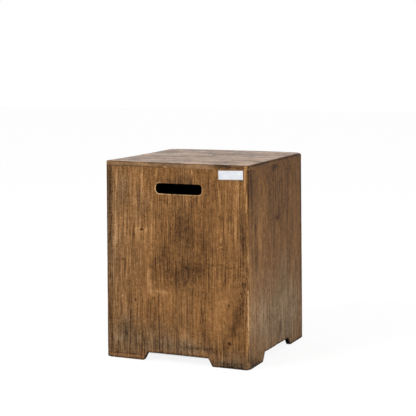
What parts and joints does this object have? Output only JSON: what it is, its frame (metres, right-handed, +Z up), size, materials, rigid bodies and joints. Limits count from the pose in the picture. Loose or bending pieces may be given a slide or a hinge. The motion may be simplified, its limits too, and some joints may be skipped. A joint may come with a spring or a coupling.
{
  "type": "propane tank cover table",
  "caption": "Square outdoor side table that stands over a gas cylinder: faux-wood cement box, open underneath, with hand slots, hose notches and corner feet.",
  "frame": {"origin": "on the floor under the middle of the table: the middle of the walls' square in plan, at the height of the pads' undersides", "axes": "+Z up, -Y out of the front wall, which carries the plate, and +X to the right seen from the front"},
  "size_m": [0.406, 0.4078, 0.53],
  "materials": {
    "faux_wood": "matt wood-grain cast cement, stained warm brown, paler on the worn arrises",
    "black_mortar": "trowelled cement mortar, painted matt black",
    "glass_mesh": "woven glass-fibre mesh set in cement slurry, painted matt black",
    "rubber": "matt black rubber",
    "plate": "satin brushed sheet with a fine bevelled rim, bare",
    "foam_tape": "black acrylic foam tape"
  },
  "bodies": {
    "root": {"top_slab": "faux_wood", "front_wall": "faux_wood", "back_wall": "faux_wood", "left_wall": "faux_wood", "right_wall": "faux_wood", "front_mesh": "glass_mesh", "back_mesh": "glass_mesh", "left_mesh": "glass_mesh", "right_mesh": "glass_mesh", "top_mesh": "glass_mesh", "top_cove_front": "black_mortar", "top_cove_back": "black_mortar", "top_cove_left": "black_mortar", "top_cove_right": "black_mortar", "corner_cove_front_left": "black_mortar", "corner_cove_front_right": "black_mortar", "corner_cove_back_right": "black_mortar", "corner_cove_back_left": "black_mortar", "foot_pad_front_left": "rubber", "foot_pad_front_right": "rubber", "foot_pad_back_right": "rubber", "foot_pad_back_left": "rubber", "nameplate": "plate", "nameplate_tape": "foam_tape"}
  },
  "joints": []
}
